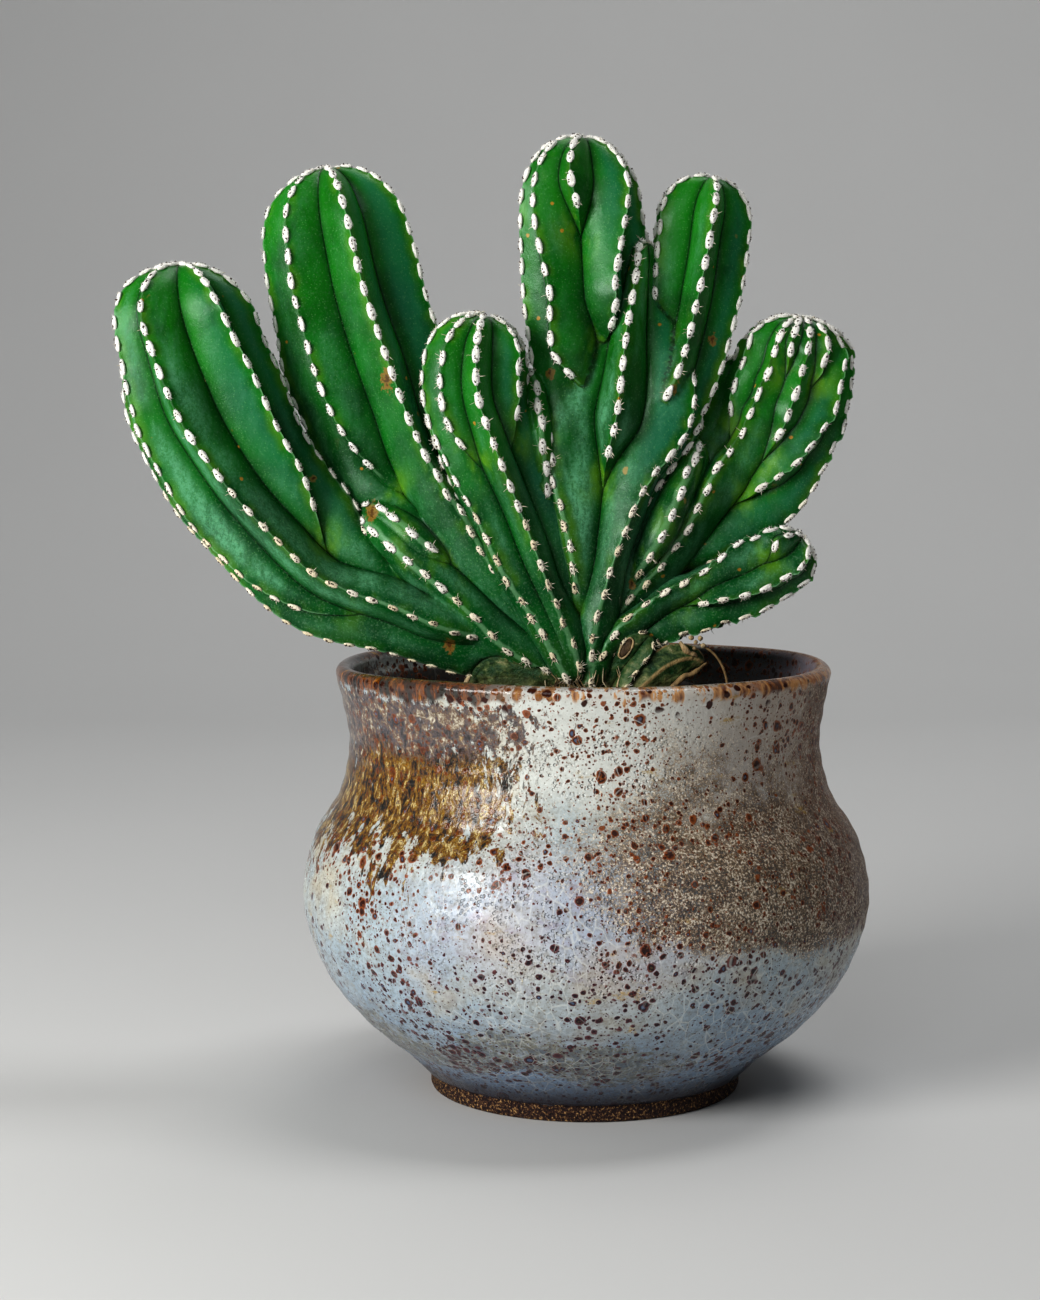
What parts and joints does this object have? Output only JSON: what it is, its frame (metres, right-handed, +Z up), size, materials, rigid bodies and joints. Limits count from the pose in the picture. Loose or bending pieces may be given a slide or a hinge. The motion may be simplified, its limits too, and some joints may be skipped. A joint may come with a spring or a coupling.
{
  "type": "potted crested cactus",
  "caption": "Crested fence post cactus with fanned, ribbed lobes and woolly areoles, standing in soil in a round glazed stoneware pot.",
  "frame": {"origin": "centre of the pot's flat foot, on the surface it stands on", "axes": "+Z up, -Y towards the viewer of the fan's broad face, +X to that viewer's right along the fan"},
  "size_m": [0.1992, 0.1496, 0.2515],
  "materials": {
    "glazed_stoneware": "glossy grey-white speckled stoneware glaze with rust-brown breaks, bare brown foot",
    "gritty_soil": "dry dark gritty potting soil",
    "cactus_skin": "waxy green cactus skin with pale felted areoles along the ribs"
  },
  "bodies": {
    "root": {"pot": "glazed_stoneware", "soil": "gritty_soil", "cactus": "cactus_skin"}
  },
  "joints": []
}
